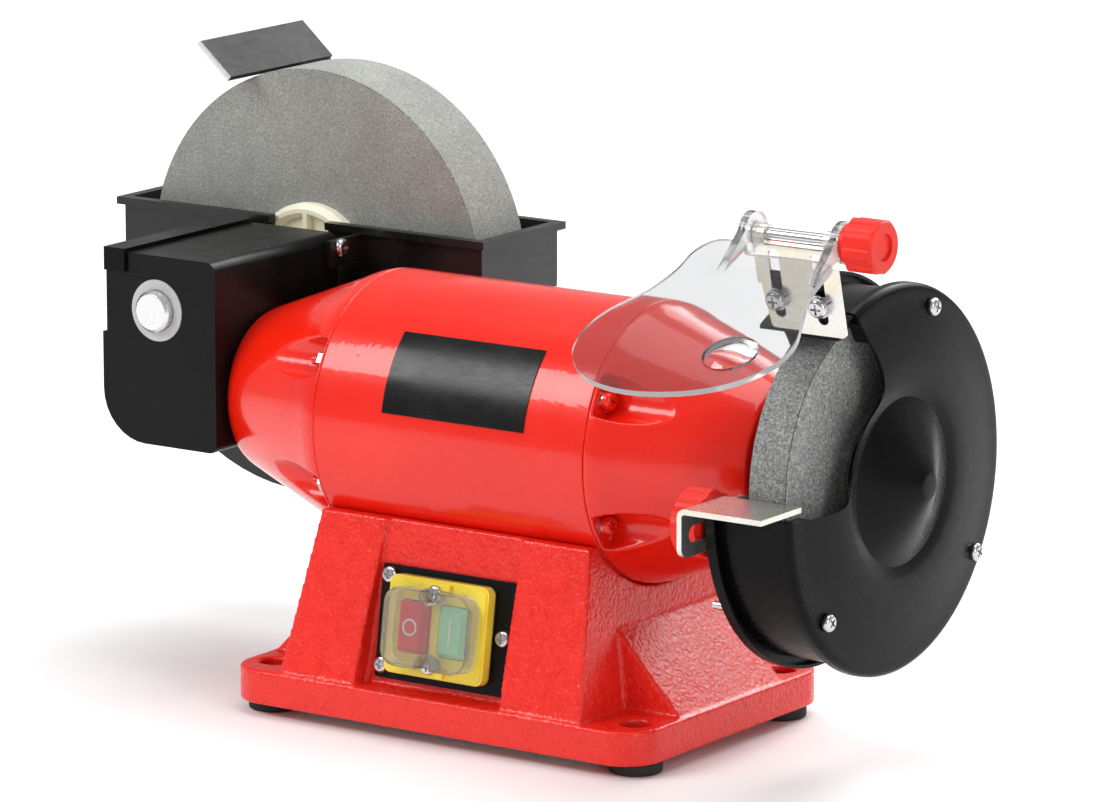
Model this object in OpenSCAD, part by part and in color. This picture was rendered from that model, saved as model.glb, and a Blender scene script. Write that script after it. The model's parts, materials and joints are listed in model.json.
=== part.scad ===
// Bench grinder with a dry grinding wheel on the motor shaft and a slow wet stone
// driven through a worm gear. Millimetres, +Z up, +X towards the dry wheel.
// The origin is the middle of the four bench bolts, on the bench.

/* [Motor] */
// Height of the motor axis above the bench
axis_z = 139; // [138:0.5:142]
// Outer radius of the motor barrel
barrel_r = 65.5; // [65:0.5:67]
// Half the length of the motor barrel
barrel_half = 76; // [75:0.5:77]
// Distance from the middle to the outer face of each end cap
cap_end = 148; // [147:0.5:149]

/* [Base] */
// Length of the base plate
base_l = 235; // [232:1:240]
// Depth of the base plate
base_w = 163; // [160:1:168]
// Thickness of the base plate's rim
base_t = 16.5; // [15:0.5:18]
// Height of the rubber feet under the plate
foot_h = 6; // [5:0.5:8]
// Bench bolt spacing along the machine
bolt_dx = 206; // [202:1:208]
// Bench bolt spacing across the machine
bolt_dy = 122; // [118:1:124]

/* [Dry side] */
// Dry wheel diameter
dry_d = 150; // [140:1:150]
// Dry wheel width
dry_w = 20; // [18:1:20]
// Inner face of the dry wheel
dry_x = 172; // [171:0.5:173]
// Outer radius of the wheel guard's cover
guard_r = 90; // [89:0.5:92]

/* [Wet side] */
// Wet stone diameter
wet_d = 200; // [180:1:200]
// Wet stone width
wet_w = 40; // [36:1:40]
// Position of the wet axle along the machine
wet_x = -183; // [-183.5:0.5:-182.5]
// Front face of the wet stone
wet_y = 80; // [79:0.5:81]
// Water tank wall thickness
tank_wall = 2.5; // [2:0.25:3]

/* [Worm drive] */
// Teeth on the worm wheel
wheel_teeth = 22; // [22:1:22]
// Pitch radius of the worm
worm_r = 20; // [20:0.5:20]
// Distance between the motor axis and the wet axle
gear_centres = 41; // [41:0.5:41]

/* [Hidden] */
$fn = 96;
far = 400;
gap = 0.3;
fit = 0.04;

plate_top = foot_h + base_t;
barrel_wall = 3;
bolt_ring_r = 58;
bolt_angles = [30, 150, 210, 330];
bolt_r = 2.5;
seat_x = barrel_half + 2;
core_r = barrel_r - barrel_wall - 0.1;

axle_z = axis_z + gear_centres;
axle_r = 10;
bush_r = 15;
wheel_pitch_r = gear_centres - worm_r;
worm_lead = 2 * PI * wheel_pitch_r / wheel_teeth;

guard_y = -3;
guard_z = axis_z - 1;
guard_in = 161.3;
guard_ring_r = 86;
guard_sheet = 1.5;
guard_edge_x = 199;
guard_screw_r = 80.5;
guard_screw_angles = [70.6, -34.3, 221.8];
notch = [
  [-52, -3.4], [-46, 3], [-41, 16], [-33, 30], [-22, 38.5], [-17, 47], [-20.5, 59],
  [-28, 70], [-36, 83], [-48, 104], [-100, 120], [-122, 60], [-116, 4], [-86, -3.6]
];

rest_top = axis_z + 0.5;
rest_sheet = 2.5;
rest_leg_x = guard_in - 0.1 - rest_sheet;
rest_stud = [-82, 126.5];

arrestor_pos = [0, -55.3, axis_z + 93.3];
arrestor_tilt = 14.5;
arrestor_t = 1.6;
arrestor_screw_x = [175, 197];
rod_local = [3.8, 23.5];
rod_r = 3;
shield_droop = 24;

panel_pos = [0, -68.5, 26];
panel_lean = 81.19;
switch_at = [-1, 27];

tank_r = wet_d / 2 + 9;
tank_y = [68.5, 132.5];
rim_z = [204, 207.7];
rest_arm_y = 141;
wet_stud = [wet_x - 41, 176];

// ---------------------------------------------------------------- helpers

function arc(cx, cy, r, a0, a1, n = 8) =
  [for (i = [0 : n]) [cx + r * cos(a0 + (a1 - a0) * i / n), cy + r * sin(a0 + (a1 - a0) * i / n)]];

function spline_point(a, b, c, d, t) =
  0.5 * ((2 * b) + (c - a) * t + (2 * a - 5 * b + 4 * c - d) * t * t
  + (3 * b - a - 3 * c + d) * t * t * t);

function closed_spline(p, n = 4) = let (m = len(p)) [
  for (i = [0 : m - 1]) for (k = [0 : n - 1])
    spline_point(p[i], p[(i + 1) % m], p[(i + 2) % m], p[(i + 3) % m], k / n)
];

module at_motor() translate([0, 0, axis_z]) children();
module at_axle() translate([wet_x, 0, axle_z]) children();
module at_guard() translate([0, guard_y, guard_z]) children();
module on_panel() translate(panel_pos) rotate([panel_lean, 0, 0]) children();
module on_arrestor() translate(arrestor_pos) rotate([arrestor_tilt, 0, 0]) children();
module at_rod() on_arrestor() translate([0, rod_local[0], rod_local[1]]) children();
module on_shield() at_rod() rotate([shield_droop - arrestor_tilt, 0, 0]) children();

module x_cylinder(x0, x1, r) translate([x0, 0, 0]) rotate([0, 90, 0]) cylinder(h = x1 - x0, r = r);
module y_cylinder(y0, y1, r) translate([0, y0, 0]) rotate([-90, 0, 0]) cylinder(h = y1 - y0, r = r);
module x_tube(x0, x1, r_out, r_in) difference() {
  x_cylinder(x0, x1, r_out);
  x_cylinder(x0 - 1, x1 + 1, r_in);
}
module y_tube(y0, y1, r_out, r_in) difference() {
  y_cylinder(y0, y1, r_out);
  y_cylinder(y0 - 1, y1 + 1, r_in);
}
// Turns a profile of [radius, position] points about the X or the Y axis
module x_turned(profile) rotate([0, 90, 0]) rotate_extrude() polygon(profile);
module y_turned(profile) rotate([-90, 0, 0]) rotate_extrude() polygon(profile);
// Extrudes an outline drawn in XZ along Y, or one drawn in YZ along X
module prism_y(outline, y0, y1) translate([0, y1, 0]) rotate([90, 0, 0])
  linear_extrude(y1 - y0) polygon(outline);
module prism_x(outline, x0, x1) translate([x0, 0, 0]) rotate([90, 0, 90])
  linear_extrude(x1 - x0) polygon(outline);

module rounded_rect(w, h, r) {
  square([w - 2 * r, h], center = true);
  square([w, h - 2 * r], center = true);
  for (sx = [-1, 1]) for (sy = [-1, 1])
    translate([sx * (w / 2 - r), sy * (h / 2 - r)]) circle(r);
}
module slot_2d(length, width) {
  square([width, length - width], center = true);
  for (s = [-1, 1]) translate([0, s * (length - width) / 2]) circle(width / 2);
}
// Pan head screw standing on Z = 0, its head above and its shank below
module pan_screw(head_r, head_h, shank_r, shank_l) {
  difference() {
    rotate_extrude() polygon(concat([[0, 0], [head_r, 0], [head_r, head_h * 0.4]],
      arc(head_r - head_h * 0.6, head_h * 0.4, head_h * 0.6, 10, 90, 4), [[0, head_h]]));
    for (a = [0, 90]) rotate([0, 0, a]) translate([0, 0, head_h])
      cube([head_r * 1.1, head_r * 0.24, head_h * 0.9], center = true);
  }
  translate([0, 0, -shank_l]) cylinder(h = shank_l, r = shank_r);
}
module spring_washer(r_out, r_in, t) difference() {
  cylinder(h = t, r = r_out);
  translate([0, 0, -1]) cylinder(h = t + 2, r = r_in);
  rotate([0, 0, 25]) translate([(r_out + r_in) / 2, 0, t / 2]) cube([r_out, 0.6, 2 * t], center = true);
}
module hex_nut(across, h, bore_r) difference() {
  cylinder(h = h, r = across / 2 / cos(30), $fn = 6);
  translate([0, 0, -1]) cylinder(h = h + 2, r = bore_r);
}
// Lobed clamping knob standing on Z = 0 with its stud going down
module lobed_knob(r, h, lobes, stud_r, stud_l) {
  difference() {
    intersection() {
      linear_extrude(h) {
        circle(r * 0.93);
        for (i = [0 : lobes - 1]) rotate([0, 0, 360 * i / lobes]) translate([r * 0.62, 0]) circle(r * 0.38);
      }
      rotate_extrude() polygon([[0, 0], [r + 0.5, 0], [r + 0.5, h - 2], [r - 1.5, h], [0, h]]);
    }
    translate([0, 0, h - 1.2]) cylinder(h = 2, r = r * 0.5);
  }
  translate([0, 0, -stud_l]) cylinder(h = stud_l, r = stud_r);
}

// ---------------------------------------------------------------- base

ped_front = [[-80.7, plate_top - 4], [-59, axis_z - 39.5]];
ped_rear = [[76.5, plate_top - 4], [57, axis_z - 39.5]];
module pedestal(out = 0) intersection() {
  prism_y([[-87, plate_top - 4], [85, plate_top - 4], [barrel_half, axis_z - 39.5],
    [-barrel_half, axis_z - 39.5]], -far, far);
  prism_x([ped_front[0], ped_rear[0], ped_rear[1], ped_front[1]], -far, far);
}
module buttress() prism_y([[60, plate_top - 1], [base_l / 2 - 2, plate_top - 1],
  [base_l / 2 - 2, plate_top], [78, axis_z - 77], [60, axis_z - 77]], -43, 43);
module base_casting() color("firebrick") difference() {
  union() {
    translate([0, 0, foot_h]) linear_extrude(base_t) rounded_rect(base_l, base_w, 19);
    pedestal();
    buttress();
    mirror([1, 0, 0]) buttress();
  }
  at_motor() x_cylinder(-far, far, barrel_r + gap);
  // recessed front panel between the two legs
  intersection() {
    prism_x([[-57, axis_z - 39], [-69.04, plate_top], [-100, plate_top], [-100, axis_z - 39]], -60, 60);
    prism_y([[-44, plate_top - 1], [39, plate_top - 1], [38.6, axis_z - 38], [-38.5, axis_z - 38]],
      -110, 0);
  }
  // hollow underside
  difference() {
    intersection() {
      prism_y([[-80, foot_h - 1], [79, foot_h - 1], [71, 67], [-71, 67]], -far, far);
      prism_x([[-63, foot_h - 1], [70, foot_h - 1], [58, 67], [-56, 67]], -far, far);
    }
    for (sx = [-1, 1]) for (sy = [-1, 1]) translate([sx * 74, sy * 58, 0]) cylinder(h = plate_top, r = 6);
  }
  translate([-86, -74, foot_h - 1]) cube([172, 148, 2.6]);
  for (sx = [-1, 1]) for (sy = [-1, 1]) {
    translate([sx * bolt_dx / 2, sy * bolt_dy / 2, 0]) cylinder(h = 60, r = 7.3);
    translate([sx * 74, sy * 58, 0]) cylinder(h = 18, r = 1.7);
  }
  on_panel() {
    translate([switch_at[0], switch_at[1], -12]) cube([45, 35, 30], center = true);
    for (p = plate_screws) translate([p[0], p[1], -9]) cylinder(h = 12, r = 1.7);
  }
  translate([-40, 0, 34]) {
    y_cylinder(50, 90, 8.2);
    y_cylinder(74.5, 90, 12);
  }
}
module rubber_feet() color("black") for (sx = [-1, 1]) for (sy = [-1, 1])
  translate([sx * bolt_dx / 2, sy * bolt_dy / 2, 0]) difference() {
    union() {
      cylinder(h = foot_h, r = 12.5);
      cylinder(h = foot_h + 12, r = 7.2);
    }
    translate([0, 0, -1]) cylinder(h = foot_h + 20, r = 4.25);
  }
module bottom_cover() color("dimgray") difference() {
  translate([0, 0, foot_h]) linear_extrude(1.5) difference() {
    square([171.4, 147.4], center = true);
    for (sx = [-1, 1]) for (sy = [-1, 1]) translate([sx * 74, sy * 58]) circle(2.2);
    for (i = [-3 : 3]) translate([i * 12, 0]) slot_2d(44, 4.4);
  }
}
module bottom_cover_screws() color("silver") for (sx = [-1, 1]) for (sy = [-1, 1])
  translate([sx * 74, sy * 58, foot_h]) rotate([180, 0, 0]) pan_screw(3.6, 2.4, 1.6, 9);
module cord_gland() color("black") translate([-40, 0, 34]) difference() {
  union() {
    y_cylinder(58, 74.5, 8);
    translate([0, 74.6, 0]) rotate([-90, 0, 0]) cylinder(h = 5, r = 11, $fn = 6);
    y_turned([[0, 79], [8.6, 79], [8.6, 86], [6, 92], [0, 92]]);
  }
  y_cylinder(50, 100, 4);
}
module capacitor() color("white") translate([20, 20, 40]) {
  x_cylinder(-32, 32, 17);
  for (s = [-4, 4]) translate([34, s, 0]) cube([6, 1, 5], center = true);
}
module terminal_block() color("ivory") translate([-48, 18, 30]) difference() {
  cube([20, 34, 14], center = true);
  for (i = [-1 : 1]) translate([0, i * 10, 3]) cylinder(h = 20, r = 2.4);
}

// ---------------------------------------------------------------- switch

plate_screws = [[-33.5, 48.5], [-34, 6], [33, 27]];
module switch_plate() color("black") on_panel() translate([0, 0, 0.1]) linear_extrude(1.6) difference() {
  translate([-0.1, 26.75]) rounded_rect(76, 53.5, 1.5);
  translate(switch_at) square([45, 35], center = true);
  for (p = plate_screws) translate(p) circle(2.1);
}
module switch_plate_screws() color("silver") on_panel() for (p = plate_screws)
  translate([p[0], p[1], 1.7]) pan_screw(3.9, 2.6, 1.65, 9);
module switch_gasket() color("lightgray") on_panel() translate([switch_at[0], switch_at[1], 1.7])
  linear_extrude(1) difference() {
    rounded_rect(56.8, 47, 5);
    square([45, 35], center = true);
  }
button_x = [-10.8, 10.8];
module switch_box() color("gold") on_panel() translate([switch_at[0], switch_at[1], 0]) difference() {
  union() {
    translate([0, 0, 2.7]) linear_extrude(5.2) rounded_rect(56, 46, 4);
    translate([0, 0, 7.9]) linear_extrude(1) rounded_rect(54, 44, 3.5);
    translate([-22, -17, -24]) cube([44, 34, 27]);
    for (s = [-1, 1]) {
      translate([0, s * 20.3, 9.8]) cube([15, 3.2, 2], center = true);
      translate([0, s * 17.2, 8.8]) cylinder(h = 2, r = 4);
    }
  }
  for (x = button_x) translate([x, 0, -2]) linear_extrude(20) rounded_rect(16.8, 24.8, 2);
  for (s = [-1, 1]) translate([0, s * 17.2, 3]) cylinder(h = 9, r = 1.55);
}
// Push button with a chamfered cap
module push_button(x, top) on_panel() translate([switch_at[0] + x, switch_at[1], 1.4]) {
  linear_extrude(top - 4.4) rounded_rect(16, 24, 1.6);
  translate([0, 0, top - 4.4]) hull() {
    linear_extrude(0.1) rounded_rect(16, 24, 1.6, $fn = 32);
    translate([0, 0, 2.9]) linear_extrude(0.1) rounded_rect(11.6, 19.6, 1.6, $fn = 32);
  }
}
module stop_button() color("crimson") push_button(button_x[0], 13.6);
module start_button() color("limegreen") push_button(button_x[1], 12);
module cover_outline(inset = 0) difference() {
  rounded_rect(48 - 2 * inset, 37 - 2 * inset, 8 - inset);
  for (s = [-1, 1]) translate([0, s * 17.2]) circle(4.3 + inset);
}
module switch_cover() color("lightcyan", 0.4) on_panel() translate([switch_at[0], switch_at[1], 9])
  difference() {
    linear_extrude(8.5) cover_outline();
    translate([0, 0, -1]) linear_extrude(8.2) cover_outline(1.2);
  }
module switch_cover_screws() color("silver") on_panel() for (s = [-1, 1])
  translate([switch_at[0], switch_at[1] + s * 17.2, 10.8]) pan_screw(3.8, 2.6, 1.5, 6.5);

// ---------------------------------------------------------------- motor

module bolt_places(x) at_motor() for (a = bolt_angles) rotate([-a, 0, 0])
  translate([x, -bolt_ring_r, 0]) children();
module motor_barrel() color("red") at_motor()
  x_tube(-barrel_half, barrel_half, barrel_r, barrel_r - barrel_wall);
module label_plate() color("black") at_motor() intersection() {
  x_tube(-37, 43, barrel_r + 0.5, barrel_r + 0.05);
  prism_x([[0, 0], far * [-cos(10.5), sin(10.5)], far * [-cos(28), sin(28)], far * [-cos(46), sin(46)]],
    -far, far);
}
cap_curve = [[barrel_r, barrel_half], [barrel_r - 0.4, barrel_half + 3.5],
  [barrel_r - 1.6, barrel_half + 7.5], [barrel_r - 3.3, barrel_half + 11.5],
  [barrel_r - 5.2, barrel_half + 16], [41.3, cap_end - 7]];
module cap_outside(boss) x_turned(concat([[0, barrel_half]], cap_curve,
  [[39.8, cap_end - 3.2], [38.6, cap_end - 1], [36.8, cap_end], [30, cap_end], [30, cap_end + boss],
   [0, cap_end + boss]]));
module cap_inside() x_turned(concat([[0, barrel_half - 1], [61.5, barrel_half - 1]],
  [for (p = cap_curve) [p[0] - 4, p[1]]], [[36.5, cap_end - 4], [26, cap_end - 4],
   [26, cap_end - 30], [0, cap_end - 30]]));
// One end cap, drawn for the +X end; the boss carries the wheel guard
module end_cap(boss) at_motor() difference() {
  union() {
    difference() {
      cap_outside(boss);
      cap_inside();
    }
    x_tube(barrel_half - 6, barrel_half + 0.5, core_r, core_r - 3);
    intersection() {
      union() {
        cap_outside(0);
        x_cylinder(barrel_half - 6, barrel_half + 1, core_r);
      }
      for (a = bolt_angles) rotate([-a, 0, 0]) translate([0, -62, 0])
        x_cylinder(barrel_half - 6, 124, 13);
    }
  }
  for (a = bolt_angles) rotate([-a, 0, 0]) translate([0, -62, 0]) x_cylinder(seat_x, 150, 10);
  for (a = bolt_angles) rotate([-a, 0, 0]) translate([0, -bolt_ring_r, 0])
    x_cylinder(0, 90, bolt_r + 0.15);
  x_cylinder(0, cap_end - 10, 20 + fit);
  x_cylinder(0, cap_end + 60, 11);
}
module end_cap_right() color("red") end_cap(guard_in - cap_end);
module end_cap_left() color("red") mirror([1, 0, 0]) end_cap(0);
module tie_bolts() color("red") bolt_places(seat_x + 1.6) rotate([0, 90, 0])
  pan_screw(4.4, 3.6, bolt_r, 2 * seat_x + 10);
module tie_bolt_washers() color("silver") bolt_places(seat_x) rotate([0, 90, 0])
  spring_washer(4.4, bolt_r + 0.2, 1.6);
module tie_bolt_nuts() color("silver") bolt_places(-seat_x - 4) rotate([0, 90, 0])
  hex_nut(8, 4, bolt_r + fit);
module stator_core() color("gray") at_motor() difference() {
  x_tube(-35, 35, core_r, 36);
  for (a = bolt_angles) rotate([-a, 0, 0]) translate([0, -60, 0]) x_cylinder(-40, 40, 5);
}
module stator_winding() color("darkorange") at_motor() for (s = [0, 1]) mirror([s, 0, 0])
  x_turned(concat([[38, 35.1], [54, 35.1]], arc(48, 52, 6, 0, 90, 6), arc(44, 52, 6, 90, 180, 6)));
bearing_x = cap_end - 16;
module both_bearings() at_motor() for (s = [-1, 1]) translate([s * bearing_x, 0, 0]) children();
module bearing_outer_races() color("silver") both_bearings() x_tube(-6, 6, 20, 16.5);
module bearing_inner_races() color("silver") both_bearings() x_tube(-6, 6, 11.4, 8.5 + fit);
module bearing_balls() color("silver") both_bearings() for (i = [0 : 7])
  rotate([45 * i, 0, 0]) translate([0, 13.95, 0]) sphere(2.4, $fn = 32);
module motor_shaft() color("silver") at_motor() x_turned([
  [0, wet_x - 24], [4, wet_x - 24], [5, wet_x - 23], [5, wet_x - 17], [7.5, wet_x - 17],
  [7.5, -146], [8.5, -146], [8.5, -118], [10, -118], [10, 118], [8.5, 118], [8.5, dry_x - 4],
  [6.35, dry_x - 4], [6.35, dry_x + dry_w + 13], [5.35, dry_x + dry_w + 14], [0, dry_x + dry_w + 14]]);
module rotor_core() color("darkgray") at_motor() {
  x_tube(-36, 36, 35.4, 10 + fit);
  for (s = [-1, 1]) translate([s * 40, 0, 0]) x_tube(-4, 4, 34, 24);
}

// ---------------------------------------------------------------- worm drive

thread_steps = 20;
thread_turns = 4;
thread_depth = [-1.9, 1.3];
thread_half = [1.75, 0.75];
thread_ring = [for (i = [0 : thread_steps * thread_turns]) let (a = 360 * i / thread_steps,
  x = worm_lead * (i / thread_steps - thread_turns / 2))
  each [for (c = [[0, 0], [0, 1], [1, 1], [1, 0]])
    [x + (c[1] == 0 ? -1 : 1) * thread_half[c[0]],
     -(worm_r + thread_depth[c[0]]) * sin(a), (worm_r + thread_depth[c[0]]) * cos(a)]]];
thread_last = 4 * thread_steps * thread_turns;
module worm_thread() polyhedron(thread_ring, concat(
  [[0, 1, 2, 3]], [[thread_last + 3, thread_last + 2, thread_last + 1, thread_last]],
  [for (i = [0 : thread_steps * thread_turns - 1]) for (k = [0 : 3])
    let (a = 4 * i + k, b = 4 * i + (k + 1) % 4)
    each [[a, a + 4, b + 4], [a, b + 4, b]]]));
module worm() color("silver") at_motor() difference() {
  union() {
    translate([wet_x, 0, 0]) worm_thread();
    x_cylinder(wet_x - 15, wet_x + 15, worm_r - 1.6);
  }
  x_cylinder(wet_x - far, wet_x + far, 7.5 + fit);
}
tooth_pts = [[-1.9, 1.7], [1.25, 0.75]];
function tooth(i) = let (step = 360 / wheel_teeth, a = -90 + step * (i + 0.5)) [
  for (p = [[0, -1], [1, -1], [1, 1], [0, 1]]) let (r = wheel_pitch_r + tooth_pts[p[0]][0],
    da = p[1] * tooth_pts[p[0]][1] / wheel_pitch_r * 180 / PI) [r * cos(a + da), r * sin(a + da)]];
module worm_wheel() color("goldenrod") at_axle() difference() {
  prism_y([for (i = [0 : wheel_teeth - 1]) each tooth(i)], -6, 6);
  y_cylinder(-far, far, axle_r + fit);
}
module axle_circlips() color("dimgray") at_axle() for (y = [-8.4, 6.2]) translate([0, y, 0]) difference() {
  y_tube(0, 1.2, 13.5, axle_r + fit);
  translate([0, 0.6, 12]) cube([6, 4, 6], center = true);
}
house_x = [wet_x - 33, -cap_end - 0.1];
house_y = [-46, 52];
house_z = [114, 206.5];
split_x = wet_x - 18.5;
function house_outline(t) = concat(
  arc(house_x[0] + 25, house_z[0] + 25, 25 - t, 180, 270),
  arc(house_x[1] - 4, house_z[0] + 4, 4 - t, 270, 360, 4),
  arc(house_x[1] - 5, house_z[1] - 5, 5 - t, 0, 90, 4),
  [[house_x[0] + 2.5 + t, house_z[1] - t], [house_x[0] + 2.5 + t, 166.5 - t * 0.2],
   [house_x[0] + t, 166.5 - t * 0.2]]);
module bush_bosses() for (y = [[-43, -36], [40, 50]]) at_axle() y_cylinder(y[0], y[1], bush_r + 4);
module housing_shell() difference() {
  union() {
    difference() {
      prism_y(house_outline(0), house_y[0], house_y[1]);
      prism_y(house_outline(2.6), house_y[0] + 3, house_y[1] - 3);
    }
    intersection() {
      bush_bosses();
      prism_y(house_outline(1), house_y[0], house_y[1]);
    }
  }
  at_axle() y_cylinder(-far, far, bush_r + 0.1);
}
module split_box(x0, x1, z_half) translate([x0, -far, axle_z - z_half]) cube([x1 - x0, 2 * far, 2 * z_half]);
module gear_housing() color("black") difference() {
  housing_shell();
  translate([split_x - far, -far, 0]) cube([far, 2 * far, far]);
  split_box(split_x - 1, wet_x, bush_r + 0.1);
  at_motor() x_cylinder(-cap_end - 10, -cap_end + 1, 17 + fit);
  translate([house_x[1] - 12, lug_y, lug_z]) x_cylinder(0, 20, 2.1);
}
module gear_housing_cover() color("black") difference() {
  union() {
    intersection() {
      housing_shell();
      union() {
        translate([split_x - far, -far, 0]) cube([far, 2 * far, far]);
        split_box(split_x - 1, wet_x, bush_r);
      }
    }
    at_motor() x_tube(house_x[0] + 2, wet_x - 19.3, 11, 8 + fit);
  }
  translate([house_x[0] - 1, lug_y, lug_z]) x_cylinder(0, 10, 2.1);
}
module housing_strip() color("black") {
  translate([house_x[0] + 2.5, house_y[0] - 1.9, house_z[1] + 0.05]) cube([12.5, 101, 1.8]);
  translate([house_x[0] + 2.5, house_y[0] - 1.9, house_z[1] - 9.5]) cube([12.5, 1.8, 10]);
}
module shaft_seal() color("black") at_motor() x_tube(-cap_end - 6, -cap_end - 0.2, 17, 7.6);
module worm_end_bush() color("goldenrod") at_motor() x_tube(wet_x - 28, wet_x - 19.4, 8, 5 + fit);
module axle_bushes() color("whitesmoke") at_axle() {
  y_tube(house_y[0] - 0.5, -36, bush_r, axle_r + fit);
  y_tube(40, house_y[1] + 1, bush_r, axle_r + fit);
}

// ---------------------------------------------------------------- wet side

wet_end = wet_y + wet_w;
module wet_axle() color("silver") at_axle() y_turned([
  [0, -51], [8.6, -51], [axle_r, -49.6], [axle_r, wet_end + 8.2], [9, wet_end + 9],
  [0, wet_end + 9]]);
module wet_stone() color("gray") at_axle() y_turned([
  [axle_r + fit, wet_y], [wet_d / 2 - 0.6, wet_y], [wet_d / 2, wet_y + 0.6],
  [wet_d / 2, wet_end - 0.6], [wet_d / 2 - 0.6, wet_end], [axle_r + fit, wet_end]]);
module wet_flange_front() color("cornsilk") at_axle() difference() {
  union() {
    y_turned([[0, wet_y - 0.1], [34, wet_y - 0.1], [34, wet_y - 4.5], [31.5, wet_y - 8],
      [29.5, wet_y - 8], [27, wet_y - 3.5], [15, wet_y - 3.5], [15, house_y[1] + 2], [0, house_y[1] + 2]]);
    for (i = [0 : 7]) rotate([0, 45 * i, 0]) translate([13, wet_y - 8, -1.2]) cube([17, 5, 2.4]);
  }
  y_cylinder(-far, far, axle_r + fit);
}
module wet_flange_rear() color("silver") at_axle() y_turned([[axle_r + fit, wet_end + 0.1],
  [32, wet_end + 0.1], [32, wet_end + 2], [26, wet_end + 3.3], [axle_r + fit, wet_end + 3.3]]);
module wet_nut() color("silver") at_axle() translate([0, wet_end + 3.4, 0]) rotate([-90, 0, 0])
  hex_nut(30, 5.4, axle_r + fit);
function tank_section(r, top) = concat([[wet_x + r, top]],
  [for (p = arc(wet_x, axle_z, r, 360, 180, 36)) p], [[wet_x - r, top]]);
lug_y = 49.5;
lug_z = 200;
module tank_lug(x) translate([x, 42, 191]) cube([3, 28, 13]);
module water_tank() color("black") difference() {
  union() {
    prism_y(tank_section(tank_r, rim_z[1]), tank_y[0], tank_y[1]);
    translate([wet_x - tank_r - 3, tank_y[0] - 3, rim_z[0]])
      cube([2 * tank_r + 6, tank_y[1] - tank_y[0] + 6, rim_z[1] - rim_z[0]]);
    tank_lug(house_x[1] + 0.2);
    tank_lug(house_x[0] - 0.7);
    translate([wet_stud[0], 0, wet_stud[1]]) y_cylinder(tank_y[1] - 1, rest_arm_y - 0.1, 8);
  }
  prism_y(tank_section(tank_r - tank_wall, rim_z[1] + 1), tank_y[0] + tank_wall, tank_y[1] - tank_wall);
  at_axle() y_cylinder(30, tank_y[0] + 6, 17);
  translate([wet_x - 17, 50, axle_z]) cube([34, 22, 60]);
  translate([wet_stud[0], 0, wet_stud[1]]) y_cylinder(tank_y[1] - 1, far, 2.6 + fit);
  translate([-far, lug_y, lug_z]) x_cylinder(0, 2 * far, 2.6);
}
module tank_screws() color("silver") {
  translate([house_x[1] + 3.3, lug_y, lug_z]) rotate([0, 90, 0]) pan_screw(4.6, 3.2, 2, 12);
  translate([house_x[0] - 0.8, lug_y, lug_z]) rotate([0, -90, 0]) pan_screw(4.6, 3.2, 2, 7);
}
// The rest plate slopes down to the stone, and its arm runs down behind the tank
rest_low = [wet_x - 35.3, axle_z + 95.6];
rest_high = [wet_x - 54, axle_z + 111.9];
rest_slope = (rest_high - rest_low) / norm(rest_high - rest_low);
rest_normal = [rest_slope[1], -rest_slope[0]];
module wet_tool_rest() color("silver") difference() {
  union() {
    prism_y([rest_low, rest_high, rest_high - 3 * rest_normal, rest_low - 3 * rest_normal],
      60, rest_arm_y + 3);
    prism_y([rest_low - 2 * rest_normal, rest_high - 2 * rest_normal, [wet_stud[0] - 9, axle_z + 88],
      [wet_stud[0] - 9, 158], [wet_stud[0] + 9, 158], [wet_stud[0] + 9, axle_z + 82]],
      rest_arm_y, rest_arm_y + 3);
  }
  translate([wet_stud[0], rest_arm_y + 4, 172]) rotate([90, 0, 0]) linear_extrude(5) slot_2d(32, 6);
}
module wet_rest_knob() color("crimson") translate([wet_stud[0], rest_arm_y + 3.1, wet_stud[1]])
  rotate([-90, 0, 0]) lobed_knob(15, 13, 8, 2.6, 8.6);

// ---------------------------------------------------------------- dry side

module notch_cut(x0, x1) at_guard() prism_x(closed_spline(notch), x0, x1);
module guard_holes(r) at_guard() for (a = guard_screw_angles) rotate([a, 0, 0])
  translate([0, guard_screw_r, 0]) x_cylinder(guard_in - 5, 230, r);
module ring_end_flange() on_arrestor() difference() {
  translate([169.5, arrestor_t / 2 + 0.05, -23.6]) cube([33.5, guard_sheet, 29]);
  for (x = arrestor_screw_x) translate([x, 0, -6.5]) y_cylinder(-5, 10, 2.6);
}
module guard_body() color("black") difference() {
  union() {
    difference() {
      at_guard() union() {
        x_cylinder(guard_in, guard_in + guard_sheet, guard_r + 1);
        x_tube(guard_in, guard_in + 5, guard_r + 1, guard_r - 0.5);
      }
      notch_cut(0, far);
    }
    difference() {
      at_guard() x_tube(guard_in, 202, guard_ring_r, guard_ring_r - guard_sheet);
      at_guard() prism_x([[0, 0], far * [cos(125), sin(125)], far * [cos(150), sin(150)],
        far * [cos(182.6), sin(182.6)]], 0, far);
      on_arrestor() translate([0, -60, -60]) cube([far, 60 + arrestor_t / 2 + 0.05, 160]);
    }
    ring_end_flange();
    translate([0, rest_stud[0], rest_stud[1]]) x_cylinder(guard_in, guard_in + 7, 7);
    at_motor() x_tube(guard_in, guard_in + 2.4, 30, 20);
  }
  guard_holes(2.1);
  translate([0, rest_stud[0], rest_stud[1]]) x_cylinder(0, far, 3 + fit);
  at_motor() x_cylinder(0, far, 14);
}
cover_shape = concat([[guard_r, guard_edge_x]], arc(guard_r - 3.5, 202.3, 3.5, 0, 84, 5),
  [[80, 206.3], [66, 208], [54, 209.2], [46, 209.4], [41.5, 208.6], [38.8, 208],
   [36, 208.9], [8, 222.2], [6, 223.1], [0, 223.4]]);
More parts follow.
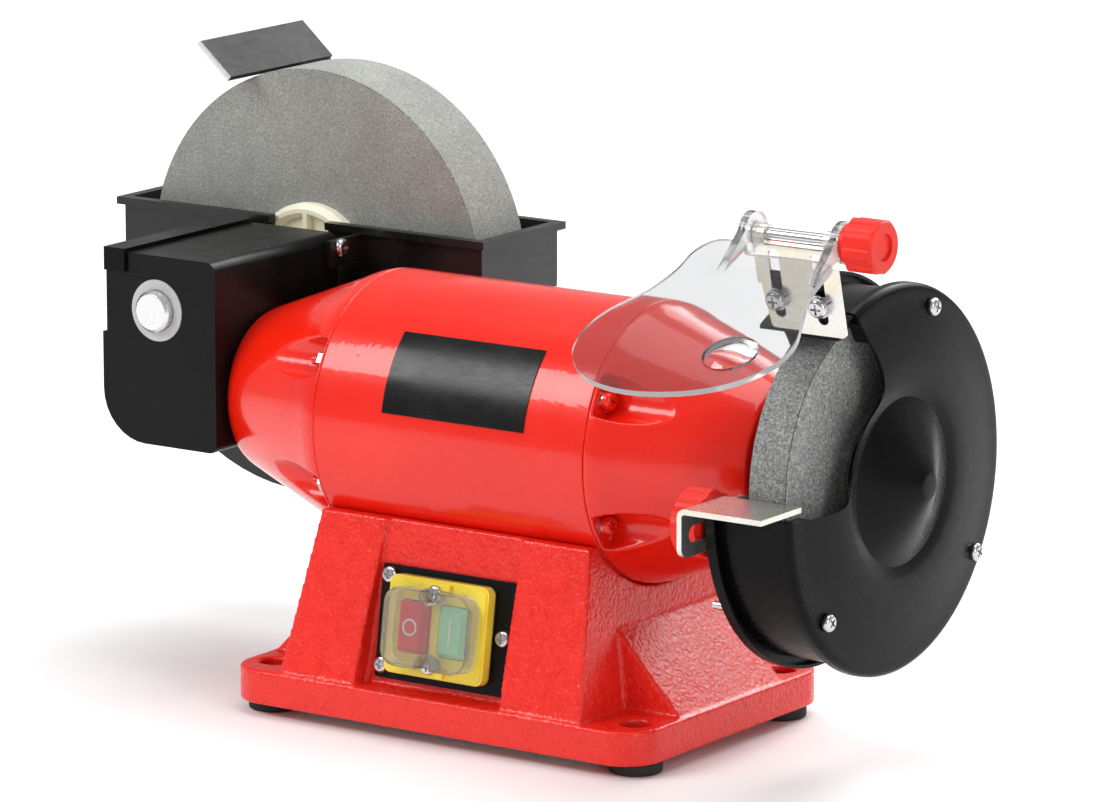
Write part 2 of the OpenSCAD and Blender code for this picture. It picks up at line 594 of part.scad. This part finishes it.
module guard_cover() color("black") difference() {
  union() {
    difference() {
      at_guard() x_turned(concat(cover_shape, [for (i = [len(cover_shape) - 1 : -1 : 0])
        let (p = cover_shape[i]) [max(p[0] - (p[0] > 81 ? guard_sheet : 0), 0),
        p[1] - (p[0] > 80 && i < 3 ? 0 : guard_sheet)]]));
      notch_cut(0, far);
    }
    // in-turned lip along the notch
    difference() {
      intersection() {
        notch_lip();
        at_guard() x_cylinder(197, 205.8, guard_ring_r - 2);
      }
      at_guard() x_cylinder(0, 300, guard_ring_r - 13.5);
    }
  }
  guard_holes(2.1);
}
module notch_lip() difference() {
  at_guard() prism_x([for (p = closed_spline(notch)) p + notch_out(p)], 199, 208);
  notch_cut(190, 215);
}
function notch_out(p) = let (d = p - [-75, 50]) 1.6 * d / norm(d);
module guard_screws() color("silver") at_guard() for (a = guard_screw_angles) rotate([a, 0, 0])
  translate([206.9, guard_screw_r, 0]) rotate([0, 90, 0]) pan_screw(4.2, 3, 2, 60);
module dry_wheel() color("darkgray") at_motor() x_turned([
  [6.35 + fit, dry_x], [dry_d / 2 - 0.8, dry_x], [dry_d / 2, dry_x + 0.8],
  [dry_d / 2, dry_x + dry_w - 0.8], [dry_d / 2 - 0.8, dry_x + dry_w], [6.35 + fit, dry_x + dry_w]]);
module dry_wheel_flanges() color("silver") at_motor() {
  x_turned([[6.35 + fit, dry_x - 3.9], [22, dry_x - 3.9], [26, dry_x - 2.5], [26, dry_x - 0.1],
    [6.35 + fit, dry_x - 0.1]]);
  translate([dry_x + dry_w, 0, 0]) x_turned([[6.35 + fit, 0.1], [26, 0.1], [26, 2], [21, 3.4],
    [6.35 + fit, 3.4]]);
}
module dry_wheel_nut() color("silver") at_motor() translate([dry_x + dry_w + 3.5, 0, 0])
  rotate([0, 90, 0]) hex_nut(19, 8, 6.35 + fit);
module dry_tool_rest() color("silver") difference() {
  union() {
    prism_y(concat(arc(rest_leg_x + 4, rest_top - 4, 4, 90, 180, 4),
      [[rest_leg_x, 132], [rest_leg_x + rest_sheet, 132]],
      arc(rest_leg_x + 4, rest_top - 4, 4 - rest_sheet, 180, 90, 4),
      [[203, rest_top - rest_sheet], [203, rest_top]]), -112, -79);
    translate([rest_leg_x, -84, 126.5]) rotate([90, 0, 90]) linear_extrude(rest_sheet)
      rounded_rect(56, 20, 5);
    translate([rest_leg_x, -112, 126.5]) cube([rest_sheet, 33, 6]);
  }
  translate([rest_leg_x - 1, -85, 126.5]) rotate([90, 0, 90]) linear_extrude(5)
    rotate([0, 0, 90]) slot_2d(42, 7.6);
}
module dry_rest_knob() color("crimson") translate([rest_leg_x - 0.1, rest_stud[0], rest_stud[1]])
  rotate([0, -90, 0]) lobed_knob(16, 14, 8, 3, 9.5);

// ---------------------------------------------------------------- arrestor and eye shield

module spark_arrestor() color("silver") on_arrestor() difference() {
  union() {
    prism_y(concat([[208, 20.1], [165, 20.1], [165, 17]], arc(171.2, -19.5, 2, 186, 270, 4),
      arc(206, -19.5, 2, 270, 360, 4)), -arrestor_t / 2, arrestor_t / 2);
    for (x = [165, 202]) {
      translate([x, -arrestor_t / 2, 0]) cube([6, arrestor_t, rod_local[1]]);
      translate([0, rod_local[0], rod_local[1]]) x_tube(x, x + 6, 4.6, rod_r + fit);
    }
  }
  for (x = arrestor_screw_x) translate([x, 0, 1]) rotate([90, 0, 0])
    translate([0, 0, -5]) linear_extrude(10) slot_2d(34, 5.6);
  translate([0, rod_local[0], rod_local[1]]) x_cylinder(160, 215, rod_r + fit);
}
module arrestor_screws() color("silver") on_arrestor() for (x = arrestor_screw_x)
  translate([x, -arrestor_t / 2 - 0.05, -6.5]) {
    rotate([90, 0, 0]) spring_washer(5.4, 2.6, 1.6);
    translate([0, -1.65, 0]) rotate([90, 0, 0]) pan_screw(4.7, 3.6, 2.45, 13);
    translate([0, 10, 0]) rotate([90, 0, 0]) hex_nut(8, 4, 2.45 + fit);
  }
module shield_rod() color("silver") at_rod() {
  x_cylinder(162, 229, rod_r);
  x_turned([[0, 160.4], [4.2, 160.4], [5.2, 161.4], [5.2, 163], [0, 163]]);
}
shield_outline = [
  [158, -4.5], [146, -6.5], [140.5, -17], [140.5, -32], [136, -50], [126.5, -67], [123.5, -84],
  [129, -103], [146, -118], [170, -123], [196, -118.5], [215, -108], [226.5, -92], [228, -75],
  [221.5, -57], [215, -40], [213.4, -26], [213, -18], [209, -13.6], [186, -13], [166, -13.2]
];
shield_z = [-4.8, -2];
lens_at = [202, -87];
lens_r = 12.5;
module lens_dome(extra) translate([lens_at[0], lens_at[1], shield_z[1] - 16.8]) sphere(21 + extra);
module shield_lug(x) {
  x_cylinder(x, x + 4, 9.6);
  prism_x([[-4, -8], [-6, shield_z[0]], [-30, shield_z[0]], [-30, shield_z[1]], [-7.6, 5.8]], x, x + 4);
}
module eye_shield() color("lightcyan", 0.4) on_shield() difference() {
  union() {
    translate([0, 0, shield_z[0]]) linear_extrude(shield_z[1] - shield_z[0])
      polygon(closed_spline(shield_outline));
    shield_lug(160.7);
    shield_lug(208.3);
    intersection() {
      lens_dome(0);
      translate([0, 0, shield_z[1] - 0.5]) linear_extrude(20) translate(lens_at) circle(lens_r + 1);
    }
  }
  lens_dome(-2.2);
  x_cylinder(100, 250, rod_r + 0.08);
  x_cylinder(100, 163.1, 5.3);
}
module shield_knob() color("crimson") at_rod() difference() {
  translate([212.6, 0, 0]) rotate([0, 90, 0]) {
    cylinder(h = 5, r = 9);
    translate([0, 0, 4]) lobed_knob(12.6, 15, 8, 4, 0.1);
  }
  x_cylinder(200, 229.4, rod_r + fit);
}

// ---------------------------------------------------------------- nodes

base_casting();
rubber_feet();
bottom_cover();
bottom_cover_screws();
cord_gland();
capacitor();
terminal_block();
switch_plate();
switch_plate_screws();
switch_gasket();
switch_box();
stop_button();
start_button();
switch_cover();
switch_cover_screws();
motor_barrel();
label_plate();
end_cap_left();
end_cap_right();
tie_bolts();
tie_bolt_washers();
tie_bolt_nuts();
stator_core();
stator_winding();
bearing_outer_races();
bearing_balls();
bearing_inner_races();
motor_shaft();
rotor_core();
worm();
gear_housing();
gear_housing_cover();
housing_strip();
shaft_seal();
worm_end_bush();
axle_bushes();
wet_axle();
worm_wheel();
axle_circlips();
wet_stone();
wet_flange_front();
wet_flange_rear();
wet_nut();
water_tank();
tank_screws();
wet_tool_rest();
wet_rest_knob();
guard_body();
guard_cover();
guard_screws();
dry_wheel();
dry_wheel_flanges();
dry_wheel_nut();
dry_tool_rest();
dry_rest_knob();
spark_arrestor();
arrestor_screws();
shield_rod();
eye_shield();
shield_knob();
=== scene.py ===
"""Looks of the wet and dry bench grinder: materials and softened edges."""
import json
import math

import bmesh
import bpy
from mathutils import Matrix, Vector


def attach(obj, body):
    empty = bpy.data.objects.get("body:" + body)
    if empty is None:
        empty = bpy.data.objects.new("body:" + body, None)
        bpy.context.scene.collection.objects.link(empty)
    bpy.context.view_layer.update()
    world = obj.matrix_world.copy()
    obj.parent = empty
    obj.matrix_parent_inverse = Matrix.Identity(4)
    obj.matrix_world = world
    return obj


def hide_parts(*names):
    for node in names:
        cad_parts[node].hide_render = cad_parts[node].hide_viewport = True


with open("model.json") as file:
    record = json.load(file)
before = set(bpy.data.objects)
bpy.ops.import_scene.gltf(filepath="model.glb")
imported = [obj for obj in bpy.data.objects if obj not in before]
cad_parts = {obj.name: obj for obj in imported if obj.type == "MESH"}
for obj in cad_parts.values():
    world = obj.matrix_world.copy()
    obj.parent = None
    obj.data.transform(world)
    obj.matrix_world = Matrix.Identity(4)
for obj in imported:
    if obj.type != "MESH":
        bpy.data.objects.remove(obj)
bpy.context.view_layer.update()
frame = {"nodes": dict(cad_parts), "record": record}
NODES = frame["nodes"]
BODY = {n: b for b, ns in frame["record"]["behaviour"]["bodies"].items() for n in ns}
SLOT = {s["node"]: s["material_slot"] for s in frame["record"]["subparts"]}
MM = 0.001
WELD = 2e-6          # metres: corners closer than this are one point
SHARP = 28           # degrees: an edge that turns more than this is softened
SHIELD_DROOP = math.radians(24)
PANEL_LEAN = math.radians(81.19)
PANEL_FOOT = (-68.5, 26)     # y and z, in mm, of the switch panel's lowest line
CAMERA_AT = (1.7436, -2.5032, 0.7900)
CAMERA_TOWARD = (-0.5559, 0.8055, -0.2054)
FOCAL_PIXELS, FRAME_PIXELS, SENSOR_MM = 6654.944, 1110, 36
FLOOR_RADIUS = 9.0
BLADE_NEAR = 0.11    # metres: the blade's end is nearer the front than this, its arm is not


# ------------------------------------------------------------------ materials

class Shader:
    """One Principled material and the few node chains that the recipes share."""

    def __init__(self, name, color, rough, metal=0.0, coat=0.0, coat_rough=0.05, specular=0.5):
        self.mat = bpy.data.materials.new(name)
        self.mat.use_nodes = True
        self.tree = self.mat.node_tree
        self.bsdf = self.tree.nodes["Principled BSDF"]
        self.set("Base Color", (*color, 1.0))
        self.set("Roughness", rough)
        self.set("Metallic", metal)
        self.set("Coat Weight", coat)
        self.set("Coat Roughness", coat_rough)
        self.set("Specular IOR Level", specular)
        self.coord = self.tree.nodes.new("ShaderNodeTexCoord").outputs["Object"]
        self.height = None

    def set(self, socket, value):
        self.bsdf.inputs[socket].default_value = value

    def node(self, kind, **values):
        n = self.tree.nodes.new(kind)
        for key, value in values.items():
            if key in n.inputs:
                n.inputs[key].default_value = value
            else:
                setattr(n, key, value)
        return n

    def link(self, a, b):
        self.tree.links.new(a, b)

    def scaled(self, scale):
        m = self.node("ShaderNodeMapping")
        m.inputs["Scale"].default_value = scale
        self.link(self.coord, m.inputs["Vector"])
        return m.outputs[0]

    def noise(self, scale, detail=3.0, rough=0.5, stretch=(1, 1, 1), distort=0.0):
        n = self.node("ShaderNodeTexNoise", Scale=scale, Detail=detail, Roughness=rough,
                      Distortion=distort)
        self.link(self.scaled(stretch), n.inputs["Vector"])
        return n.outputs["Fac"]

    def cells(self, scale, feature="F1", out="Distance"):
        n = self.node("ShaderNodeTexVoronoi", feature=feature, Scale=scale)
        self.link(self.scaled((1, 1, 1)), n.inputs["Vector"])
        return n.outputs[out]

    def ramp(self, fac, stops, smooth=False):
        r = self.node("ShaderNodeValToRGB")
        ramp = r.color_ramp
        ramp.interpolation = "EASE" if smooth else "LINEAR"
        while len(ramp.elements) < len(stops):
            ramp.elements.new(0.5)
        for e, (pos, color) in zip(ramp.elements, stops):
            e.position = pos
            e.color = (*color, 1.0) if len(color) == 3 else color
        self.link(fac, r.inputs[0])
        return r.outputs[0]

    def grey(self, fac, lo, hi, v0=0.0, v1=1.0):
        m = self.node("ShaderNodeMapRange")
        for i, v in zip(range(1, 5), (lo, hi, v0, v1)):
            m.inputs[i].default_value = v
        self.link(fac, m.inputs[0])
        return m.outputs[0]

    def mix(self, fac, a, b):
        m = self.node("ShaderNodeMix", data_type="RGBA")
        for sock, v in ((m.inputs[0], fac), (m.inputs[6], a), (m.inputs[7], b)):
            if isinstance(v, (tuple, list)):
                sock.default_value = (*v, 1.0)
            elif isinstance(v, float):
                sock.default_value = v
            else:
                self.link(v, sock)
        return m.outputs[2]

    def color(self, socket):
        self.link(socket, self.bsdf.inputs["Base Color"])

    def roughness(self, socket):
        self.link(socket, self.bsdf.inputs["Roughness"])

    def bump(self, height, distance, strength=1.0):
        b = self.node("ShaderNodeBump", Strength=strength, Distance=distance)
        self.link(height, b.inputs["Height"])
        if self.height is not None:
            self.link(self.height, b.inputs["Normal"])
        self.height = b.outputs[0]
        self.link(self.height, self.bsdf.inputs["Normal"])
        self.link(self.height, self.bsdf.inputs["Coat Normal"])


def gloss_paint(name, base, deep):
    """Gloss enamel: orange peel, a little shade drift and a few dust nibs."""
    s = Shader(name, base, 0.26, coat=0.55, coat_rough=0.03, specular=0.25)
    drift = s.noise(14, 2)
    s.color(s.ramp(drift, [(0.3, deep), (0.7, base)]))
    s.roughness(s.grey(s.noise(60, 3), 0.3, 0.7, 0.20, 0.30))
    s.bump(s.noise(330, 2, 0.45), 0.00010, 0.55)
    s.bump(s.grey(s.cells(55), 0.0, 0.035, 1.0, 0.0), 0.00025, 0.6)
    return s.mat


def hammered_paint(name):
    """Thick paint over a sand casting: close grain, small pits, darker hollows."""
    s = Shader(name, (0.80, 0.018, 0.010), 0.30, coat=0.3, coat_rough=0.10, specular=0.28)
    grain = s.noise(760, 3, 0.55)
    broad = s.noise(150, 3, 0.55)
    pits = s.cells(520, "SMOOTH_F1")
    s.color(s.mix(s.grey(grain, 0.38, 0.72),
                  s.ramp(broad, [(0.3, (0.70, 0.011, 0.006)), (0.7, (0.82, 0.018, 0.010))]),
                  (0.88, 0.030, 0.018)))
    s.roughness(s.grey(broad, 0.3, 0.7, 0.24, 0.40))
    s.bump(broad, 0.0006, 0.5)
    s.bump(pits, 0.0006, 0.55)
    s.bump(grain, 0.00028, 0.6)
    return s.mat


def black_coat(name, base=0.012, rough=0.36, grain=0.00008, scale=700, specular=0.5):
    """Powder coat or moulded black: fine grain, dusty variation, faint scuffs."""
    s = Shader(name, (base, base, base), rough, specular=specular)
    dust = s.noise(24, 4, 0.6)
    s.color(s.ramp(dust, [(0.35, (base * 0.8, base * 0.8, base * 0.82)),
                          (0.75, (base * 1.7, base * 1.7, base * 1.75))]))
    scuff = s.noise(90, 5, 0.75, stretch=(1, 1, 4), distort=0.6)
    s.roughness(s.grey(s.mix(0.5, dust, scuff), 0.35, 0.65, rough - 0.07, rough + 0.10))
    s.bump(s.noise(scale, 3, 0.6), grain, 0.7)
    return s


def metal(name, color, rough, brush=None, cloud=None, grain=0.00002):
    """Plated or turned metal with brushing along one axis and cloudy passivation."""
    s = Shader(name, color, rough, metal=1.0)
    if cloud:
        s.color(s.ramp(s.noise(46, 5, 0.62, distort=0.7), [(0.34, cloud), (0.62, color)], True))
    stretch = brush or (1, 1, 1)
    lines = s.noise(420, 3, 0.6, stretch=stretch)
    s.roughness(s.grey(lines, 0.25, 0.75, rough * 0.7, rough * 1.45))
    s.bump(lines, grain, 0.6)
    return s


def moulded(name, base, rough, grain=0.00004, coat=0.0, subsurface=0.0, specular=0.5):
    """Moulded plastic: faint flow marks, mould texture and small tone changes."""
    s = Shader(name, base, rough, coat=coat, coat_rough=0.12, specular=specular)
    flow = s.noise(30, 3, 0.5, distort=0.8)
    dark = tuple(c * 0.84 for c in base)
    light = tuple(min(1.0, c * 1.07 + 0.004) for c in base)
    s.color(s.ramp(flow, [(0.3, dark), (0.72, light)]))
    s.roughness(s.grey(flow, 0.3, 0.7, rough * 0.8, rough * 1.25))
    s.bump(s.noise(900, 2, 0.5), grain, 0.6)
    if subsurface:
        s.set("Subsurface Weight", subsurface)
        s.set("Subsurface Radius", (0.004, 0.003, 0.002))
    return s


def abrasive(name, dark, mid, light, scale, bump):
    """Bonded grit: hard speckle of dark, middle and bright grains with open pores."""
    s = Shader(name, mid, 0.88, specular=0.3)
    grit = s.cells(scale, out="Color")
    sep = s.node("ShaderNodeSeparateColor")
    s.link(grit, sep.inputs[0])
    speckle = s.ramp(sep.outputs[0], [(0.0, dark), (0.42, mid), (0.8, mid), (1.0, light)])
    fine = s.ramp(s.noise(scale * 0.75, 4, 0.8), [(0.36, dark), (0.52, mid), (0.66, light)])
    cloud = s.ramp(s.noise(26, 4, 0.6), [(0.3, (0.86, 0.86, 0.86)), (0.7, (1.12, 1.12, 1.12))])
    m = s.node("ShaderNodeMix", data_type="RGBA", blend_type="MULTIPLY")
    m.inputs[0].default_value = 1.0
    s.link(s.mix(0.55, speckle, fine), m.inputs[6])
    s.link(cloud, m.inputs[7])
    s.color(m.outputs[2])
    s.bump(s.noise(scale * 0.6, 4, 0.8), bump, 0.9)
    s.bump(s.cells(scale * 0.9), bump * 0.8, 0.6)
    return s


def clear_plastic(name, tint, through=1.0, rough=0.02):
    """Clear sheet or moulding, with a little haze where less than all the light goes through."""
    s = Shader(name, tint, rough, specular=0.5)
    s.set("Transmission Weight", through)
    s.set("IOR", 1.47)
    s.roughness(s.grey(s.noise(40, 4, 0.6), 0.45, 0.75, rough, rough + 0.035))
    s.bump(s.noise(28, 1, 0.3), 0.00012, 0.18)
    return s.mat


def laminated(name, base, axis_stretch):
    s = Shader(name, base, 0.42, metal=0.9)
    w = s.node("ShaderNodeTexWave", Scale=300.0, Distortion=0.3)
    s.link(s.scaled(axis_stretch), w.inputs["Vector"])
    s.color(s.ramp(w.outputs["Fac"], [(0.2, tuple(c * 0.5 for c in base)), (0.8, base)]))
    s.bump(w.outputs["Fac"], 0.0002, 0.7)
    return s.mat


MATS = {
    "red_paint": gloss_paint("red_paint", (0.84, 0.015, 0.0035), (0.74, 0.010, 0.003)),
    "hammered_red": hammered_paint("hammered_red"),
    "foot_rubber": black_coat("foot_rubber", 0.014, 0.75, 0.00012, 500).mat,
    "gasket_rubber": black_coat("gasket_rubber", 0.012, 0.8, 0.0001, 500).mat,
    "black_sheet": black_coat("black_sheet", 0.003, 0.25, 0.00006, 620, 0.10).mat,
    "black_plastic": black_coat("black_plastic", 0.004, 0.30, 0.00004, 900, 0.14).mat,
    "tank_plastic": black_coat("tank_plastic", 0.006, 0.30, 0.00003, 1000, 0.45).mat,
    "label_black": black_coat("label_black", 0.005, 0.24, 0.00002, 300, 0.3).mat,
    "zinc_sheet": metal("zinc_sheet", (0.74, 0.74, 0.715), 0.28, (1, 6, 6), (0.74, 0.695, 0.565)).mat,
    "dark_sheet": black_coat("dark_sheet", 0.016, 0.50, 0.00004, 500, 0.2).mat,
    "screw_zinc": metal("screw_zinc", (0.58, 0.58, 0.59), 0.16).mat,
    "bearing_steel": metal("bearing_steel", (0.78, 0.79, 0.80), 0.10).mat,
    "shaft_steel": metal("shaft_steel", (0.76, 0.76, 0.76), 0.24, (3, 3, 3), grain=0.000004).mat,
    "spring_steel": metal("spring_steel", (0.20, 0.20, 0.22), 0.34).mat,
    "bronze": metal("bronze", (0.72, 0.46, 0.20), 0.30, (1, 8, 1)).mat,
    "white_plastic": moulded("white_plastic", (0.72, 0.71, 0.66), 0.45).mat,
    "cream_plastic": moulded("cream_plastic", (0.95, 0.90, 0.71), 0.38, subsurface=0.25).mat,
    "bush_plastic": moulded("bush_plastic", (0.50, 0.51, 0.51), 0.42, subsurface=0.1).mat,
    "yellow_plastic": moulded("yellow_plastic", (0.93, 0.72, 0.055), 0.33, coat=0.15).mat,
    "red_plastic": moulded("red_plastic", (0.82, 0.018, 0.008), 0.38, specular=0.3).mat,
    "green_plastic": moulded("green_plastic", (0.34, 0.76, 0.42), 0.34, coat=0.15).mat,
    "clear_plastic": clear_plastic("clear_plastic", (0.95, 0.955, 0.955), 0.93),
    "shield_plastic": clear_plastic("shield_plastic", (0.62, 0.625, 0.63)),
    "winding_copper": laminated("winding_copper", (0.62, 0.28, 0.12), (1, 7, 7)),
    "lamination_steel": laminated("lamination_steel", (0.42, 0.42, 0.44), (4, 1, 1)),
    "wet_abrasive": abrasive("wet_abrasive", (0.16, 0.165, 0.155), (0.30, 0.305, 0.285),
                             (0.47, 0.475, 0.45), 1350, 0.00010).mat,
    "dry_abrasive": abrasive("dry_abrasive", (0.085, 0.088, 0.09), (0.31, 0.315, 0.31),
                             (0.68, 0.69, 0.66), 1150, 0.00022).mat,
}
PRINT = moulded("switch_print", (0.88, 0.88, 0.86), 0.4).mat


def painted_edge_highlight(name, tint, through):
    """The edge of a clear sheet: a paler, less clear version of the plastic, whose brightness is a
    painted highlight standing in for the light the edge gathers.
    """
    s = Shader(name, tint, 0.16)
    s.set("Transmission Weight", through)
    s.set("IOR", 1.47)
    s.roughness(s.grey(s.noise(220, 3, 0.6), 0.3, 0.7, 0.10, 0.24))
    s.bump(s.noise(160, 2, 0.5), 0.00008, 0.4)
    return s.mat


# The clear sheets' edges get a paler, partly milky plastic: a painted highlight along each edge.
SHIELD_EDGE_HIGHLIGHT = painted_edge_highlight("shield_edge_highlight", (0.90, 0.905, 0.91), 0.62)
COVER_EDGE_HIGHLIGHT = painted_edge_highlight("cover_edge_highlight", (0.80, 0.81, 0.81), 0.80)
BARE_EDGE = metal("bare_edge", (0.72, 0.72, 0.71), 0.25, (1, 1, 5)).mat


# ------------------------------------------------------------------ softened CAD nodes

def dress(obj, slot):
    obj.data.materials.clear()
    obj.data.materials.append(MATS[slot])


def soften(node, width, segments):
    """Rounds a CAD node's sharp edges with modifiers and leaves its mesh as it is."""
    obj = NODES[node]
    weld = obj.modifiers.new("weld", "WELD")
    weld.merge_threshold = WELD
    bevel = obj.modifiers.new("edge", "BEVEL")
    bevel.width = width * MM
    bevel.segments = segments
    bevel.limit_method = "ANGLE"
    bevel.angle_limit = math.radians(SHARP)
    bevel.miter_outer = "MITER_ARC"
    bevel.use_clamp_overlap = True
    normal = obj.modifiers.new("normal", "WEIGHTED_NORMAL")
    normal.keep_sharp = False
    normal.weight = 60


for name, obj in NODES.items():
    dress(obj, SLOT[name])
    for p in obj.data.polygons:
        p.use_smooth = True


def leaning(angle):
    """The upward normal of a plane that leans towards the front by an angle."""
    return Vector((0, -math.sin(angle), math.cos(angle)))


def edge_faces(node, normal, material):
    """Gives the faces that stand across a clear sheet the paler edge plastic, a painted highlight
    along its cut edge.
    """
    mesh = NODES[node].data
    mesh.materials.append(material)
    for p in mesh.polygons:
        if abs(p.normal.dot(normal)) < 0.35:
            p.material_index = 1


edge_faces("eye_shield", leaning(SHIELD_DROOP), SHIELD_EDGE_HIGHLIGHT)
edge_faces("switch_cover", leaning(PANEL_LEAN), COVER_EDGE_HIGHLIGHT)

# The wet rest's blade is sheared to length, so its near end shows bare steel.
blade = NODES["wet_tool_rest"]
blade.data.materials.append(BARE_EDGE)
for p in blade.data.polygons:
    if p.normal.y < -0.95 and (blade.matrix_world @ p.center).y < BLADE_NEAR:
        p.material_index = 1


def cast_copy(node, voxel, rounds):
    """A casting: the CAD solid remeshed finely and relaxed, so its edges become fillets."""
    src = NODES[node]
    mesh = src.data.copy()
    obj = bpy.data.objects.new(node + "_cast", mesh)
    bpy.context.scene.collection.objects.link(obj)
    bm = bmesh.new()
    bm.from_mesh(mesh)
    bmesh.ops.remove_doubles(bm, verts=bm.verts, dist=WELD)
    bm.to_mesh(mesh)
    bm.free()
    mesh.materials.clear()
    m = obj.modifiers.new("voxel", "REMESH")
    m.mode = "VOXEL"
    m.voxel_size = voxel * MM
    m.use_smooth_shade = True
    s = obj.modifiers.new("relax", "SMOOTH")
    s.factor = 0.5
    s.iterations = rounds
    bake(obj)
    dress(obj, SLOT[node])
    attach(obj, BODY[node])
    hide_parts(node)
    return obj


def bake(obj):
    """Turns the object's modifiers into its mesh."""
    deps = bpy.context.evaluated_depsgraph_get()
    made = bpy.data.meshes.new_from_object(obj.evaluated_get(deps))
    obj.modifiers.clear()
    old = obj.data
    obj.data = made
    bpy.data.meshes.remove(old)
    for p in made.polygons:
        p.use_smooth = True


cast_copy("base_casting", 0.95, 3)
cast_copy("end_cap_left", 0.85, 4)
cast_copy("end_cap_right", 0.85, 4)

SOFTENED = {        # width in mm and segments of each softened edge
    (1.2, 3): "rubber_feet wet_rest_knob dry_rest_knob shield_knob",
    (0.4, 2): "switch_plate dry_wheel_nut wet_nut",
    (1.1, 3): "switch_box",
    (0.8, 3): "stop_button start_button switch_cover",
    (0.6, 2): "motor_barrel cord_gland",
    (0.9, 3): "gear_housing gear_housing_cover wet_flange_front water_tank",
    (0.35, 2): "housing_strip",
    (0.5, 2): "axle_bushes shield_rod",
    (0.3, 2): "wet_axle wet_tool_rest dry_tool_rest switch_gasket",
    (0.6, 3): "guard_body eye_shield",
    (0.25, 2): "spark_arrestor",
    (0.15, 2): "guard_screws switch_cover_screws arrestor_screws tank_screws tie_bolts "
        "label_plate",
    (0.7, 3): "guard_cover dry_wheel wet_stone",
}
for (width, segments), names in SOFTENED.items():
    for node in names.split():
        soften(node, width, segments)


# ------------------------------------------------------------------ switch markings

KEY_MIDDLE = 27      # mm up the panel from its foot

def on_panel(x, y, z):
    """A point in the switch panel's own axes, put in the machine's frame."""
    c, s = math.cos(PANEL_LEAN), math.sin(PANEL_LEAN)
    foot_y, foot_z = PANEL_FOOT
    return Vector((x * MM, (foot_y + y * c - z * s) * MM, (foot_z + y * s + z * c) * MM))


def raised_mark(name, outline, x, z, body):
    """A thin raised mark: rings of (x, y) points on the key, closed one on the other."""
    bm = bmesh.new()
    rows = [[bm.verts.new(on_panel(x + px, KEY_MIDDLE + py, z + h)) for px, py in ring]
            for ring, h in outline]
    for a, b in zip(rows, rows[1:] + rows[:1]):
        n = len(a)
        for i in range(n):
            bm.faces.new((a[i], a[(i + 1) % n], b[(i + 1) % n], b[i]))
    bmesh.ops.recalc_face_normals(bm, faces=bm.faces)
    mesh = bpy.data.meshes.new(name)
    bm.to_mesh(mesh)
    bm.free()
    mesh.materials.append(PRINT)
    obj = bpy.data.objects.new(name, mesh)
    bpy.context.scene.collection.objects.link(obj)
    for p in mesh.polygons:
        p.use_smooth = True
    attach(obj, body)
    return obj


def circle(r, n=48):
    return [(r * math.cos(2 * math.pi * i / n), r * math.sin(2 * math.pi * i / n)) for i in range(n)]


def capsule(w, h, n=12):
    a = [math.pi * i / (n - 1) for i in range(n)]
    top = [(w * math.cos(t), h - w + w * math.sin(t)) for t in a]
    return top + [(-px, -py) for px, py in top]


STOP_RINGS = [(circle(r), h) for r, h in
              ((4.1, -0.2), (4.0, 0.10), (3.75, 0.14), (3.4, 0.14), (3.15, 0.10), (3.05, -0.2))]
START_RINGS = [(capsule(w, length), h) for w, length, h in
               ((0.7, 6.1, -0.2), (0.6, 6.0, 0.10), (0.4, 5.8, 0.14), (0.05, 5.5, 0.14),
                (0.05, 5.5, -0.2))]
raised_mark("stop_mark", STOP_RINGS, -11.8, 13.6, "stop_key")
raised_mark("start_mark", START_RINGS, 9.8, 12.0, "start_key")


# ------------------------------------------------------------------ stage

def stage():
    """A plain pale floor, flat and wide, so that nothing stands between any view and the machine."""
    mesh = bpy.data.meshes.new("floor")
    bm = bmesh.new()
    bm.faces.new([bm.verts.new((x, y, 0.0)) for x, y in circle(FLOOR_RADIUS, 64)])
    bm.to_mesh(mesh)
    bm.free()
    floor = bpy.data.objects.new("floor", mesh)
    bpy.context.scene.collection.objects.link(floor)
    s = Shader("floor", (0.93, 0.93, 0.93), 0.7)
    s.roughness(s.grey(s.noise(8, 3), 0.3, 0.7, 0.62, 0.75))
    mesh.materials.append(s.mat)


def area(name, place, target, size, power, color=(1, 1, 1)):
    light = bpy.data.lights.new(name, "AREA")
    light.shape = "RECTANGLE"
    light.size, light.size_y = size
    light.energy = power
    light.color = color
    obj = bpy.data.objects.new(name, light)
    obj.location = place
    obj.rotation_euler = (Vector(target) - Vector(place)).to_track_quat("-Z", "Y").to_euler()
    bpy.context.scene.collection.objects.link(obj)


def lights_and_camera():
    world = bpy.data.worlds.new("studio")
    bpy.context.scene.world = world
    world.use_nodes = True
    world.node_tree.nodes["Background"].inputs[0].default_value = (1, 1, 1, 1)
    world.node_tree.nodes["Background"].inputs[1].default_value = 0.42
    area("key", (-1.1, -1.6, 1.7), (0, 0, 0.12), (1.3, 0.9), 30)
    area("top", (0.1, 0.3, 2.0), (0, 0, 0.1), (2.2, 1.2), 26)
    area("right", (2.2, -0.9, 0.9), (0, 0, 0.12), (0.7, 1.5), 12)
    area("back", (0.4, 1.9, 1.3), (0, 0, 0.15), (2.0, 0.9), 18)
    area("far_floor", (-0.3, 2.7, 2.2), (-1.1, 1.8, 0.0), (2.4, 1.2), 45)
    cam = bpy.data.cameras.new("camera")
    cam.sensor_width = SENSOR_MM
    cam.lens = FOCAL_PIXELS / FRAME_PIXELS * SENSOR_MM
    cam.clip_end = 60
    obj = bpy.data.objects.new("camera", cam)
    toward = Vector(CAMERA_TOWARD).normalized()
    obj.location = CAMERA_AT
    obj.rotation_euler = toward.to_track_quat("-Z", "Y").to_euler()
    bpy.context.scene.collection.objects.link(obj)
    bpy.context.scene.camera = obj
    bpy.context.scene.view_settings.view_transform = "Standard"


stage()
lights_and_camera()
